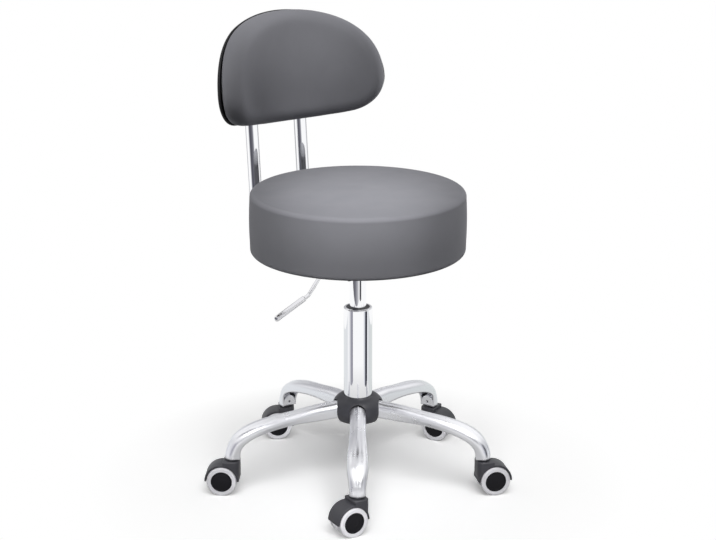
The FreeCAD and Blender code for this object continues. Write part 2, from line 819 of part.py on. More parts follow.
def back_section(share):
    # the pad cut by a plane through the axis of its curve, share -1 to 1 from end to end
    end_angle = math.asin((back_half - back_end_inset) / shell_front_radius)
    angle = end_angle * share
    x = shell_front_radius * math.sin(angle)
    low, high = back_edges_at(x)
    front = shell_front_radius - back_rim + (back_rim - back_end_rim) * abs(share) ** back_end_sharpness
    crown = back_crown * (1 - share ** 2) + back_end_crown
    round_by = min(back_edge_rounding, (high - low) / 4)
    middle = (low + high) / 2
    half = (high - low) / 2
    # the front is one arc, and each rounding runs into it and into the edge without a corner
    front_radius = (half ** 2 + crown ** 2) / (2 * crown)
    front_centre = front - crown + front_radius
    centre_reach = front_radius - round_by
    round_centre = front_centre - math.sqrt(centre_reach ** 2 - (half - round_by) ** 2)
    lean = math.asin((half - round_by) / centre_reach)
    middle_lean = (lean + math.pi / 2) / 2
    round_end = front_centre - front_radius * math.cos(lean)
    round_middle = round_centre - round_by * math.cos(middle_lean)
    end_rise = front_radius * math.sin(lean)
    middle_rise = half - round_by + round_by * math.sin(middle_lean)

    def at(radius, z):
        return Vec(radius * math.sin(angle), back_axis + radius * math.cos(angle), z)

    rear_low = at(back_curve_radius, low + back_drawn_in)
    rear_high = at(back_curve_radius, high - back_drawn_in)
    return Part.Wire([
        line(rear_low, rear_high),
        line(rear_high, at(round_centre, high)),
        arc(at(round_centre, high), at(round_middle, middle + middle_rise), at(round_end, middle + end_rise)),
        arc(at(round_end, middle + end_rise), at(front - crown, middle), at(round_end, middle - end_rise)),
        arc(at(round_end, middle - end_rise), at(round_middle, middle - middle_rise), at(round_centre, low)),
        line(at(round_centre, low), rear_low)])


def backrest_cushion():
    shares = [math.sin(math.pi / 2 * i / back_sections) for i in range(-back_sections, back_sections + 1)]
    pad = smooth_loft([back_section(share) for share in shares])
    pad = pad.common(rod(shell_front_radius, back_lift - back_height, back_top + back_height, 0, back_axis))
    board = curved_sheet(shell_front_radius, back_board_front_radius, back_board_inset)
    return one(leaned(pad.cut(board)))


def all_nodes():
    nodes = {
        "hub_socket": hub_socket(), "hub_cover": hub_cover(), "outer_column": outer_column(),
        "guide_bush": guide_bush(), "thrust_bearing": thrust_bearing(), "piston_rod": piston_rod(),
        "piston": piston(), "rod_clip": rod_clip(), "rubber_buffer": rubber_buffer(),
        "pressure_tube": pressure_tube(), "rod_guide": rod_guide(), "release_pin": release_pin(),
        "mount_plate": mount_plate(), "seat_bolts": seat_bolts(), "seat_board": seat_board(),
        "seat_cushion": seat_cushion(), "lever_rod": lever_rod(), "lever_handle": lever_handle(),
        "upright_left": upright(1), "upright_right": upright(-1), "backrest_board": backrest_board(),
        "backrest_cushion": backrest_cushion(), "backrest_shell": backrest_shell(),
        "backrest_screws": backrest_screws()}
    one_leg = leg()
    pieces = {"hood": caster_hood(), "axle": caster_axle(),
              "wheel_left": wheel_disc(), "tread_left": wheel_tread(),
              "wheel_right": mirrored(wheel_disc()), "tread_right": mirrored(wheel_tread())}
    stems = []
    for number, (angle, trail) in enumerate(zip(leg_angles, caster_trail_angles), 1):
        nodes[f"leg_{number}"] = placed(one_leg, angle)
        stems.append(placed(caster_stem(), angle, stem_circle_radius))
        for name, piece in pieces.items():
            turned_piece = placed(piece, trail - angle)
            nodes[f"caster_{number}_{name}"] = placed(turned_piece, angle, stem_circle_radius)
    nodes["caster_stems"] = Part.makeCompound(stems)
    return nodes


os.makedirs("parts", exist_ok=True)
for name, shape in all_nodes().items():
    shape.exportStep(os.path.join("parts", name + ".step"))
    print(name, len(shape.Solids), "solids", round(shape.Volume / 1000, 2), "cm3", shape.isValid())
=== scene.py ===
import bpy
import json
import math
from mathutils import Matrix, Vector


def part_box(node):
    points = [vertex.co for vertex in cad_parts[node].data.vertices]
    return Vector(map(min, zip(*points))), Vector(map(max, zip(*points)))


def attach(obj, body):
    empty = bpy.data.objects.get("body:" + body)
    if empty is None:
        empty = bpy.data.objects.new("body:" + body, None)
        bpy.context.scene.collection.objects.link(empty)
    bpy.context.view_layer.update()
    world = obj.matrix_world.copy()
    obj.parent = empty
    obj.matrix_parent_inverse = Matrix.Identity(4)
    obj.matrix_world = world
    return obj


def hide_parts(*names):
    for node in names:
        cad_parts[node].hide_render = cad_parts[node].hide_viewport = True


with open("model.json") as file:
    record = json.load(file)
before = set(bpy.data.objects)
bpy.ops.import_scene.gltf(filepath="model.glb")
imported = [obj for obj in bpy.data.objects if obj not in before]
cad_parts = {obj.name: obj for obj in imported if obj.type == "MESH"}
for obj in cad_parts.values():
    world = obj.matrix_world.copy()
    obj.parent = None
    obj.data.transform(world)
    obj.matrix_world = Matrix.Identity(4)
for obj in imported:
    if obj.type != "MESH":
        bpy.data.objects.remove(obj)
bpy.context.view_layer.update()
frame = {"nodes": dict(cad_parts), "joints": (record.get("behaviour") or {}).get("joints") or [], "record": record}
nodes = frame["nodes"]
joints = {joint["name"]: joint for joint in frame["joints"]}
mm = 0.001
mergeGap = 0.01 * mm
casterNumbers = range(1, 6)
sides = ("left", "right")
scene = bpy.context.scene
scene.view_settings.view_transform = "Standard"
print("frame loaded:", len(nodes), "nodes")


# Small helpers for working in the viewport's way

def deselectAll():
    if bpy.context.object and bpy.context.object.mode != "OBJECT":
        bpy.ops.object.mode_set(mode="OBJECT")
    bpy.ops.object.select_all(action="DESELECT")


def makeActive(piece):
    deselectAll()
    piece.select_set(True)
    bpy.context.view_layer.objects.active = piece


def enterEdit(piece, kind="VERT"):
    makeActive(piece)
    bpy.ops.object.mode_set(mode="EDIT")
    bpy.ops.mesh.select_mode(type=kind)


def editAll(piece):
    enterEdit(piece)
    bpy.ops.mesh.select_all(action="SELECT")


def leaveEdit():
    bpy.ops.object.mode_set(mode="OBJECT")


def pickNothing(piece, kind="VERT"):
    enterEdit(piece, kind)
    bpy.ops.mesh.select_all(action="DESELECT")
    leaveEdit()


def named(name):
    piece = bpy.context.object
    piece.name = name
    piece.data.name = name
    return piece


def pickEdges(piece, test):
    # select the edges whose two ends pass the test, and stay in edit mode
    pickNothing(piece, "EDGE")
    places = [vertex.co for vertex in piece.data.vertices]
    for edge in piece.data.edges:
        edge.select = test(places[edge.vertices[0]], places[edge.vertices[1]])
    bpy.ops.object.mode_set(mode="EDIT")


def settle(piece):
    # put the object at the origin with its place in its mesh
    makeActive(piece)
    bpy.ops.object.transform_apply(location=True, rotation=True, scale=True)


def applyModifier(piece, kind, **settings):
    makeActive(piece)
    modifier = piece.modifiers.new(kind.title(), kind)
    for name, value in settings.items():
        setattr(modifier, name, value)
    bpy.ops.object.modifier_apply(modifier=modifier.name)


def evenSurface(piece, rounds):
    applyModifier(piece, "SMOOTH", factor=0.5, iterations=rounds)


def combine(piece, tool, how):
    settle(piece)
    settle(tool)
    applyModifier(piece, "BOOLEAN", operation=how, solver="EXACT", object=tool)
    bpy.data.objects.remove(tool)


def roundEdges(piece, width, segments=3, angle=35):
    applyModifier(piece, "BEVEL", width=width, segments=segments, limit_method="ANGLE",
                  angle_limit=math.radians(angle), harden_normals=False)


def smoothShade(piece, angle=35):
    makeActive(piece)
    bpy.ops.object.shade_smooth_by_angle(angle=math.radians(angle))


def outwards(piece):
    editAll(piece)
    bpy.ops.mesh.remove_doubles(threshold=mergeGap)
    bpy.ops.mesh.normals_make_consistent(inside=False)
    leaveEdit()


def turnOnLathe(name, rings, segments):
    # a circle extruded ring by ring along Z; a first or last radius of 0 closes to a point
    tiny = 0.002 * mm
    radius, height = max(rings[0][0] * mm, tiny), rings[0][1] * mm
    deselectAll()
    bpy.ops.mesh.primitive_circle_add(vertices=segments, radius=radius, location=(0, 0, height))
    piece = named(name)
    settle(piece)
    editAll(piece)
    for nextRadius, nextHeight in rings[1:]:
        nextRadius, nextHeight = max(nextRadius * mm, tiny), nextHeight * mm
        scale = nextRadius / radius
        bpy.ops.mesh.extrude_edges_move(TRANSFORM_OT_translate={"value": (0, 0, nextHeight - height)})
        bpy.ops.transform.resize(value=(scale, scale, 1), center_override=(0, 0, nextHeight))
        radius, height = nextRadius, nextHeight
    leaveEdit()
    outwards(piece)
    return piece


def copyOf(piece, name, place):
    # a copy with its own mesh, set down by a matrix
    copy = bpy.data.objects.new(name, piece.data.copy())
    copy.data.name = name
    copy.data.transform(place)
    scene.collection.objects.link(copy)
    return copy


def hand(piece, body, slot, material, *replaced):
    piece.data.materials.clear()
    piece.data.materials.append(material)
    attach(piece, body)
    if replaced:
        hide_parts(*replaced)


# Finishes: roughness is given as a lowest and a highest value

def startMaterial(name, colour, roughness, metallic=0.0):
    material = bpy.data.materials.new(name)
    material.use_nodes = True
    tree = material.node_tree
    shader = tree.nodes["Principled BSDF"]
    shader.inputs["Base Color"].default_value = (*colour, 1)
    shader.inputs["Roughness"].default_value = sum(roughness) / 2
    shader.inputs["Metallic"].default_value = metallic
    place = tree.nodes.new("ShaderNodeTexCoord")
    return material, tree, shader, place.outputs["Object"]


def addNoise(tree, place, scale, detail=3.0, roughness=0.5, stretch=None):
    if stretch:
        mapping = tree.nodes.new("ShaderNodeMapping")
        mapping.inputs["Scale"].default_value = stretch
        tree.links.new(place, mapping.inputs["Vector"])
        place = mapping.outputs["Vector"]
    noise = tree.nodes.new("ShaderNodeTexNoise")
    noise.inputs["Scale"].default_value = scale
    noise.inputs["Detail"].default_value = detail
    noise.inputs["Roughness"].default_value = roughness
    tree.links.new(place, noise.inputs["Vector"])
    return noise.outputs["Fac"]


def addRange(tree, value, low, high, start=0.3, end=0.7):
    spread = tree.nodes.new("ShaderNodeMapRange")
    for name, number in (("From Min", start), ("From Max", end), ("To Min", low), ("To Max", high)):
        spread.inputs[name].default_value = number
    tree.links.new(value, spread.inputs["Value"])
    return spread.outputs["Result"]


def addRamp(tree, value, stops):
    ramp = tree.nodes.new("ShaderNodeValToRGB")
    while len(ramp.color_ramp.elements) < len(stops):
        ramp.color_ramp.elements.new(0.5)
    for element, (position, colour) in zip(ramp.color_ramp.elements, stops):
        element.position = position
        element.color = (*colour, 1)
    tree.links.new(value, ramp.inputs["Fac"])
    return ramp.outputs["Color"]


def addBump(tree, shader, height, strength, distance, before=None):
    bump = tree.nodes.new("ShaderNodeBump")
    bump.inputs["Strength"].default_value = strength
    bump.inputs["Distance"].default_value = distance
    tree.links.new(height, bump.inputs["Height"])
    if before:
        tree.links.new(before, bump.inputs["Normal"])
    tree.links.new(bump.outputs["Normal"], shader.inputs["Normal"])
    return bump.outputs["Normal"]


def addTones(tree, value, colour, darker, lighter):
    # the colour, made darker where the value is low and lighter where it is high
    shades = [tuple(channel * by for channel in colour) for by in (darker, lighter)]
    return addRamp(tree, value, [(0.3, shades[0]), (0.7, shades[1])])


leatherLook = {
    "colour": (0.225, 0.226, 0.246),
    "unevenness": 0.05,
    "cloudScale": 9.0,
    "roughness": (0.42, 0.52),
    "polishScale": 26.0,
    "gloss": 0.03,
    "grainSize": 1.5 * mm,
    "grainDepth": 0.05 * mm,
    "creaseShare": 0.25,
    "creaseStrength": 0.35,
    "poreSize": 0.5 * mm,
    "poreStrength": 0.15,
}


def makeLeather():
    look = leatherLook
    material, tree, shader, place = startMaterial("greyCoatedFabric", look["colour"], look["roughness"])
    shader.inputs["Specular IOR Level"].default_value = look["gloss"]
    clouds = addNoise(tree, place, look["cloudScale"], detail=4.0)
    tones = addTones(tree, clouds, look["colour"], 1 - look["unevenness"], 1 + look["unevenness"])
    tree.links.new(tones, shader.inputs["Base Color"])
    polish = addRange(tree, addNoise(tree, place, look["polishScale"]), *look["roughness"])
    tree.links.new(polish, shader.inputs["Roughness"])
    pebbles = tree.nodes.new("ShaderNodeTexVoronoi")
    pebbles.feature = "DISTANCE_TO_EDGE"
    pebbles.inputs["Scale"].default_value = 1 / look["grainSize"]
    tree.links.new(place, pebbles.inputs["Vector"])
    creases = addRange(tree, pebbles.outputs["Distance"], 0.0, 1.0, 0.0, look["creaseShare"])
    grain = addBump(tree, shader, creases, look["creaseStrength"], look["grainDepth"])
    pores = addNoise(tree, place, 1 / look["poreSize"])
    addBump(tree, shader, pores, look["poreStrength"], look["grainDepth"], grain)
    return material


# evenOut rounds the shading over that radius, so that the facets of a bent tube don't show in it
chromeLook = {
    "colour": (0.955, 0.96, 0.975), "roughness": (0.02, 0.05), "haze": 0.02 * mm, "evenOut": 0,
}
legChromeLook = {
    "colour": (0.94, 0.945, 0.975), "roughness": (0.26, 0.31), "haze": 0.01 * mm, "evenOut": 4.0 * mm,
}
leverChromeLook = {
    "colour": (0.95, 0.95, 0.96), "roughness": (0.16, 0.20), "haze": 0.01 * mm, "evenOut": 2.0 * mm,
}
chromeMarks = {
    "tintScale": 6.0, "darkestTint": 0.985, "smearScale": 30.0,
    "polishScale": 220.0, "polishStretch": (1, 1, 0.12), "polishStrength": 0.04, "evenSamples": 8,
}


def makeChrome(name, look):
    material, tree, shader, place = startMaterial(name, look["colour"], look["roughness"], metallic=1.0)
    marks = chromeMarks
    clouds = addNoise(tree, place, marks["tintScale"])
    tint = addTones(tree, clouds, look["colour"], marks["darkestTint"], 1.0)
    tree.links.new(tint, shader.inputs["Base Color"])
    smears = addNoise(tree, place, marks["smearScale"], detail=5.0, roughness=0.6)
    tree.links.new(addRange(tree, smears, *look["roughness"]), shader.inputs["Roughness"])
    polish = addNoise(tree, place, marks["polishScale"], stretch=marks["polishStretch"])
    even = None
    if look["evenOut"]:
        rounded = tree.nodes.new("ShaderNodeBevel")
        rounded.samples = marks["evenSamples"]
        rounded.inputs["Radius"].default_value = look["evenOut"]
        even = rounded.outputs["Normal"]
    addBump(tree, shader, polish, marks["polishStrength"], look["haze"], before=even)
    return material


mouldedMarks = {"cloudScale": 24.0, "tones": (0.88, 1.12), "glossScale": 60.0, "grainStrength": 0.25}


def makeMoulded(name, colour, roughness, grainSize, grainDepth=0.03 * mm, gloss=0.5):
    # moulded plastic or rubber: a fine even grain, slight clouds in tone and gloss
    material, tree, shader, place = startMaterial(name, colour, roughness)
    shader.inputs["Specular IOR Level"].default_value = gloss
    marks = mouldedMarks
    clouds = addNoise(tree, place, marks["cloudScale"], detail=4.0)
    tree.links.new(addTones(tree, clouds, colour, *marks["tones"]), shader.inputs["Base Color"])
    shine = addNoise(tree, place, marks["glossScale"])
    tree.links.new(addRange(tree, shine, *roughness), shader.inputs["Roughness"])
    grain = addNoise(tree, place, 1 / grainSize, detail=2.0)
    addBump(tree, shader, grain, marks["grainStrength"], grainDepth)
    return material


metalMarks = {"stretch": (0.08, 0.08, 1.0), "tones": (0.9, 1.08), "strength": 0.12, "depth": 0.03 * mm}


def makeMetal(name, colour, roughness, lineSize):
    # turned or drawn metal with fine lines
    material, tree, shader, place = startMaterial(name, colour, roughness, metallic=1.0)
    marks = metalMarks
    lines = addNoise(tree, place, 1 / lineSize, detail=4.0, stretch=marks["stretch"])
    tree.links.new(addTones(tree, lines, colour, *marks["tones"]), shader.inputs["Base Color"])
    tree.links.new(addRange(tree, lines, *roughness), shader.inputs["Roughness"])
    addBump(tree, shader, lines, marks["strength"], marks["depth"])
    return material


nonWovenLook = {
    "colour": (0.60, 0.60, 0.61), "tones": (0.82, 1.1), "roughness": (0.8, 0.95),
    "fibreScale": 900.0, "alongStretch": (1, 0.25, 1), "acrossStretch": (0.25, 1, 1),
    "strength": 0.4, "depth": 0.1 * mm,
}


def makeNonWoven():
    # pressed fibres in a random mat, pale grey
    look = nonWovenLook
    material, tree, shader, place = startMaterial("paleNonWoven", look["colour"], look["roughness"])
    fibres, across = (addNoise(tree, place, look["fibreScale"], detail=5.0, roughness=0.7, stretch=look[way])
                      for way in ("alongStretch", "acrossStretch"))
    tree.links.new(addTones(tree, fibres, look["colour"], *look["tones"]), shader.inputs["Base Color"])
    tree.links.new(addRange(tree, across, *look["roughness"]), shader.inputs["Roughness"])
    along = addBump(tree, shader, fibres, look["strength"], look["depth"])
    addBump(tree, shader, across, look["strength"], look["depth"], along)
    return material


plywoodLook = {
    "pale": (0.60, 0.45, 0.29), "dark": (0.42, 0.29, 0.17), "roughness": (0.5, 0.75),
    "grain": {"Scale": 18.0, "Distortion": 7.0, "Detail": 3.0, "Detail Scale": 1.4},
    "poreScale": 420.0, "poreStretch": (1, 0.1, 1), "poreStrength": 0.2, "poreDepth": 0.1 * mm,
}


def makePlywood():
    # wavy rings of late wood, and long pores
    look = plywoodLook
    material, tree, shader, place = startMaterial("birchPlywood", look["pale"], look["roughness"])
    grain = tree.nodes.new("ShaderNodeTexWave")
    for name, number in look["grain"].items():
        grain.inputs[name].default_value = number
    tree.links.new(place, grain.inputs["Vector"])
    tones = addRamp(tree, grain.outputs["Fac"], [(0.2, look["dark"]), (0.75, look["pale"])])
    tree.links.new(tones, shader.inputs["Base Color"])
    pores = addNoise(tree, place, look["poreScale"], stretch=look["poreStretch"])
    tree.links.new(addRange(tree, pores, *look["roughness"]), shader.inputs["Roughness"])
    addBump(tree, shader, pores, look["poreStrength"], look["poreDepth"])
    return material


finishes = {
    "cover": makeLeather(),
    "chrome": makeChrome("brightChrome", chromeLook),
    "black_plastic": makeMoulded("satinBlackPlastic", (0.044, 0.044, 0.052), (0.36, 0.48), 0.9 * mm),
    "wheel_disc": makeMoulded("darkWheelPlastic", (0.010, 0.0095, 0.012), (0.5, 0.62), 0.8 * mm, gloss=0.2),
    "tread": makeMoulded("paleTreadRubber", (0.88, 0.87, 0.91), (0.42, 0.55), 0.7 * mm),
    "black_rubber": makeMoulded("blackRubber", (0.018, 0.018, 0.018), (0.6, 0.75), 0.8 * mm),
    "black_paint": makeMoulded("blackPowderCoat", (0.021, 0.021, 0.023), (0.42, 0.55), 0.6 * mm, 0.06 * mm),
    "steel": makeMetal("turnedSteel", (0.56, 0.56, 0.58), (0.22, 0.34), 0.6 * mm),
    "aluminium": makeMetal("turnedAluminium", (0.72, 0.72, 0.73), (0.26, 0.38), 0.8 * mm),
    "plywood": makePlywood(),
}
# nodes whose names start so have a softer chrome than the column
softChrome = {
    "leg_": makeChrome("legChrome", legChromeLook),
    "lever_": makeChrome("leverChrome", leverChromeLook),
}
slotOf = {part["node"]: part["material_slot"] for part in frame["record"]["subparts"]}
for nodeName, node in nodes.items():
    node.data.materials.clear()
    softer = [material for start, material in softChrome.items() if nodeName.startswith(start)]
    node.data.materials.append(softer[0] if softer else finishes[slotOf[nodeName]])
print("finishes made:", len(finishes))


# Cushions: drawn in a little, then swollen again by the foam's pressure

seatPad = {
    # the profile, in millimetres, with the radii of the rings under it and on top
    "node": "seat_cushion", "crown": 2.5, "bulge": 1.5, "topRounding": 10.0, "bottomRounding": 6.0,
    "underRings": (40, 80, 120, 145, 160, 168), "topRings": (158, 148, 136, 120, 100, 80, 60, 40),
    "bottomSteps": 4, "sideRings": 10, "topSteps": 6, "segments": 128,
    "drawnIn": 0.6 * mm, "pressure": 5.0, "mostSwell": 1.6 * mm, "bending": 12, "smoothing": 1,
    "heldBelow": 10.0 * mm, "fill": 0.9,
}
backPad = {
    # laid out flat: X along the curve, Z up from the level of the seat's top, the front towards -Y
    "node": "backrest_cushion", "halfLength": 189.4 * mm,
    "bottom": 72.4 * mm, "waist": 137.5 * mm, "top": 263.4 * mm,
    "corner": (121.7 * mm, 78.9 * mm), "cornerSlope": 5.5,
    "bottomHandle": 81.0 * mm, "cornerHandle": 37.0 * mm,
    "hipHandle": 33.0 * mm, "shoulderHandle": 86.0 * mm, "topHandle": 98.0 * mm, "outlineSteps": 24,
    "seam": 2.6 * mm, "tuck": 3.0 * mm, "tuckDepth": 5.0 * mm, "side": 16.0 * mm,
    "rounding": 21.0 * mm, "roundTo": 85.0, "roundSteps": 5, "voxel": 3.0 * mm, "evening": 25,
    # what counts as the back and as the front when the crown is raised, by the normal's Y
    "backFacing": 0.2, "frontFacing": -0.9, "crown": 8.0 * mm, "crownReach": 108.0 * mm,
    # the crown's line: how far it runs each way, its level in the middle and how much lower its ends are
    "crownLine": (90.0 * mm, 166.0 * mm, 16.0 * mm),
    # the shell's front that the pad lies on, and how the whole backrest stands
    "curveRadius": 229.0 * mm, "curveStand": 26.0 * mm, "foot": (0, 243.0 * mm), "lean": 4.8,
    "drawnIn": 0.5 * mm, "pressure": 4.0, "mostSwell": 1.6 * mm, "bending": 150, "smoothing": 24,
    "heldFacing": 0.5, "fill": 0.85,
}
swellFrames = 14
coverCloth = {
    "quality": 5, "mass": 0.3, "tension_stiffness": 40, "compression_stiffness": 40, "shear_stiffness": 20,
}


def arcRings(middle, radius, first, last, steps):
    # points of an arc in a profile's plane, angles in degrees from straight out
    turns = [math.radians(first + (last - first) * step / steps) for step in range(steps + 1)]
    return [(middle[0] + radius * math.cos(turn), middle[1] + radius * math.sin(turn)) for turn in turns]


def seatRings(pad):
    low, high = (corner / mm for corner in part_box(pad["node"]))
    side = (high.x - low.x) / 2 - pad["bulge"]
    foot = (side - pad["bottomRounding"], low.z + pad["bottomRounding"])
    shoulder = (side - pad["topRounding"], high.z - pad["crown"] - pad["topRounding"])
    rings = [(radius, low.z) for radius in pad["underRings"]]
    rings += arcRings(foot, pad["bottomRounding"], -90, 0, pad["bottomSteps"])
    for step in range(1, pad["sideRings"]):
        share = step / pad["sideRings"]
        bulge = pad["bulge"] * 4 * share * (1 - share)
        rings.append((side + bulge, foot[1] + share * (shoulder[1] - foot[1])))
    rings += arcRings(shoulder, pad["topRounding"], 0, 90, pad["topSteps"])
    rings += [(radius, high.z - pad["crown"] * (radius / shoulder[0]) ** 2) for radius in pad["topRings"]]
    return rings


def startRoundCushion(name, pad):
    # ring by ring from the underside over the edge to the top, and a grid of faces in the middle of both
    rings = seatRings(pad)
    cushion = turnOnLathe(name, rings, pad["segments"])
    middle = (rings[0][1] + rings[-1][1]) / 2 * mm
    inner = (rings[-1][0] + 1) * mm

    def onHole(end, side):
        return end.to_2d().length < inner and (end.z - middle) * side > 0

    for side in (1, -1):
        pickEdges(cushion, lambda a, b: onHole(a, side) and onHole(b, side))
        bpy.ops.mesh.fill_grid(span=pad["segments"] // 4)
        leaveEdit()
    outwards(cushion)
    return cushion


def drawBackOutline(name, pad):
    deselectAll()
    bpy.ops.curve.primitive_bezier_circle_add(radius=pad["halfLength"])
    outline = named(name)
    outline.data.dimensions = "3D"
    outline.data.resolution_u = pad["outlineSteps"]
    makeActive(outline)
    bpy.ops.object.mode_set(mode="EDIT")
    bpy.ops.curve.select_all(action="DESELECT")
    for point in outline.data.splines[0].bezier_points[2:]:
        point.select_control_point = True
    bpy.ops.curve.subdivide()
    leaveEdit()
    right, left = (Vector((sign * pad["halfLength"], 0, pad["waist"])) for sign in (1, -1))
    top = Vector((0, 0, pad["top"]))
    rightLow, leftLow = (Vector((sign * pad["corner"][0], 0, pad["corner"][1])) for sign in (1, -1))
    slope = math.radians(pad["cornerSlope"])
    rising, falling = (Vector((math.cos(slope), 0, sign * math.sin(slope))) for sign in (1, -1))
    up, down = Vector((0, 0, pad["shoulderHandle"])), Vector((0, 0, -pad["hipHandle"]))
    along = Vector((pad["topHandle"], 0, 0))
    # each point with the handles before and after it, round from the left
    points = [(left, left + down, left + up),
              (top, top - along, top + along),
              (right, right + up, right + down),
              (rightLow, rightLow + rising * pad["cornerHandle"], rightLow - rising * pad["bottomHandle"]),
              (leftLow, leftLow + falling * pad["bottomHandle"], leftLow - falling * pad["cornerHandle"])]
    for point, (place, before, after) in zip(outline.data.splines[0].bezier_points, points):
        point.handle_left_type = point.handle_right_type = "FREE"
        point.co, point.handle_left, point.handle_right = place, before, after
    bpy.ops.object.convert(target="MESH")
    outline.data.name = name
    return outline


def push(step, scale, middle):
    # the selected front goes forward and is scaled about the pad's middle
    bpy.ops.mesh.extrude_region_move(TRANSFORM_OT_translate={"value": (0, -step, 0)})
    bpy.ops.transform.resize(value=(scale[0], 1, scale[1]), center_override=middle)


def raiseCrown(cushion, pad):
    # the front is drawn out along its middle line and falls off all round; the back is hidden and stays
    halfLine, level, fall = pad["crownLine"]
    pickNothing(cushion)
    for vertex in cushion.data.vertices:
        vertex.select = vertex.normal.y > pad["backFacing"]
    enterEdit(cushion)
    bpy.ops.mesh.hide()
    leaveEdit()
    for vertex in cushion.data.vertices:
        share = abs(vertex.co.x) / halfLine
        onLine = share < 1 and abs(vertex.co.z - level + fall * share ** 2) < pad["voxel"]
        vertex.select = onLine and vertex.normal.y < pad["frontFacing"] and not vertex.hide
    enterEdit(cushion)
    bpy.ops.transform.translate(value=(0, -pad["crown"], 0), use_proportional_edit=True,
                                proportional_edit_falloff="SMOOTH", proportional_size=pad["crownReach"])
    bpy.ops.mesh.reveal(select=False)
    leaveEdit()


def startBackCushion(name, pad):
    # the outline as a face, pushed out to the rim, rounded over, crowned, and bent round the sitter
    cushion = drawBackOutline(name, pad)
    middle = Vector((0, 0, (pad["bottom"] + pad["top"]) / 2))
    spread = (pad["halfLength"], (pad["top"] - pad["bottom"]) / 2)
    tucked = [1 - pad["tuck"] / size for size in spread]
    editAll(cushion)
    bpy.ops.mesh.edge_face_add()
    bpy.ops.mesh.select_mode(type="FACE")
    bpy.ops.transform.translate(value=(0, -pad["seam"], 0))
    bpy.ops.transform.resize(value=(tucked[0], 1, tucked[1]), center_override=middle)
    push(pad["tuckDepth"], [1 / share for share in tucked], middle)
    push(pad["side"] - pad["tuckDepth"], (1, 1), middle)
    inset = depth = 0
    for step in range(1, pad["roundSteps"] + 1):
        turn = math.radians(pad["roundTo"] * step / pad["roundSteps"])
        nextInset = pad["rounding"] * (1 - math.cos(turn))
        nextDepth = pad["rounding"] * math.sin(turn)
        bpy.ops.mesh.inset(thickness=nextInset - inset, depth=nextDepth - depth, use_even_offset=True)
        inset, depth = nextInset, nextDepth
    leaveEdit()
    outwards(cushion)
    applyModifier(cushion, "REMESH", mode="VOXEL", voxel_size=pad["voxel"], use_smooth_shade=True)
    evenSurface(cushion, pad["evening"])
    raiseCrown(cushion, pad)
    reaches = [vertex.co.x for vertex in cushion.data.vertices]
    bend = (max(reaches) - min(reaches)) / pad["curveRadius"]
    applyModifier(cushion, "SIMPLE_DEFORM", deform_method="BEND", deform_axis="Z", angle=-bend)
    lean = Matrix.Rotation(math.radians(-pad["lean"]), 4, "X")
    stand = Matrix.Translation((*pad["foot"], seatTop)) @ lean
    cushion.data.transform(stand @ Matrix.Translation((0, -pad["curveStand"], 0)))
    return cushion


def swell(cushion, pad, heldTest):
    # the cover is pushed out by the foam and held where it is fixed to its board
    held = cushion.vertex_groups.new(name="held")
    held.add([vertex.index for vertex in cushion.data.vertices if heldTest(vertex)], 1.0, "REPLACE")
    applyModifier(cushion, "DISPLACE", strength=-pad["drawnIn"], mid_level=0.0, vertex_group="held",
                  invert_vertex_group=True)
    before = [vertex.co.copy() for vertex in cushion.data.vertices]
    makeActive(cushion)
    cloth = cushion.modifiers.new("foam", "CLOTH")
    for name, value in coverCloth.items():
        setattr(cloth.settings, name, value)
    cloth.settings.bending_stiffness = pad["bending"]
    cloth.settings.use_pressure = True
    cloth.settings.uniform_pressure_force = pad["pressure"]
    cloth.settings.effector_weights.gravity = 0
    cloth.settings.vertex_group_mass = "held"
    cloth.collision_settings.use_collision = False
    for number in range(1, swellFrames + 1):
        scene.frame_set(number)
    bpy.ops.object.modifier_apply(modifier="foam")
    scene.frame_set(1)
    steps = [(vertex.co - start).length for vertex, start in zip(cushion.data.vertices, before)]
    mean = sum(steps) / len(steps)
    print(cushion.name, "swelled by", round(mean / mm, 2), "mm, at most", round(max(steps) / mm, 2))
    for vertex, start in zip(cushion.data.vertices, before):
        step = vertex.co - start
        if step.length > pad["mostSwell"]:
            vertex.co = start + step.normalized() * pad["mostSwell"]


def finishCushion(cushion, pad, body):
    evenSurface(cushion, pad["smoothing"])
    makeActive(cushion)
    bpy.ops.object.shade_smooth()
    cushion.vertex_groups.clear()
    hand(cushion, body, "cover", finishes["cover"], pad["node"])


seatLow, seatTop = (corner.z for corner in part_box("seat_cushion"))
seamLow = seatTop - (seatPad["crown"] + seatPad["topRounding"]) * mm
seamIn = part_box("seat_cushion")[1].x - (seatPad["bulge"] + seatPad["topRounding"]) * mm


def heldOnSeat(vertex):
    # the cover is stapled under the board, and the seam round the top keeps its line
    onSeam = vertex.co.z > seamLow and vertex.co.to_2d().length > seamIn
    return onSeam or vertex.co.z < seatLow + seatPad["heldBelow"]


seatCushion = startRoundCushion("seatCushion", seatPad)
swell(seatCushion, seatPad, heldOnSeat)
applyModifier(seatCushion, "SUBSURF", levels=1)
finishCushion(seatCushion, seatPad, "seat")
print("seat cushion:", len(seatCushion.data.polygons), "faces")

backCushion = startBackCushion("backCushion", backPad)
swell(backCushion, backPad, lambda vertex: vertex.normal.y > backPad["heldFacing"])
finishCushion(backCushion, backPad, "seat")
print("back cushion:", len(backCushion.data.polygons), "faces")


# Backrest shell: the moulded back with its rim rounded over, and a round edge trim where the pad meets it

backShellLook = {
    "node": "backrest_shell", "colour": (0.008, 0.008, 0.009), "roughness": (0.5, 0.62), "grain": 0.9 * mm,
    "gloss": 0.3,
    "sharpFrom": 50, "roundFrom": 40, "flatWithin": 0.5, "rimRounding": 1.0 * mm, "segments": 3,
    "trimRadius": 2.2 * mm, "trimSteps": 3,
}


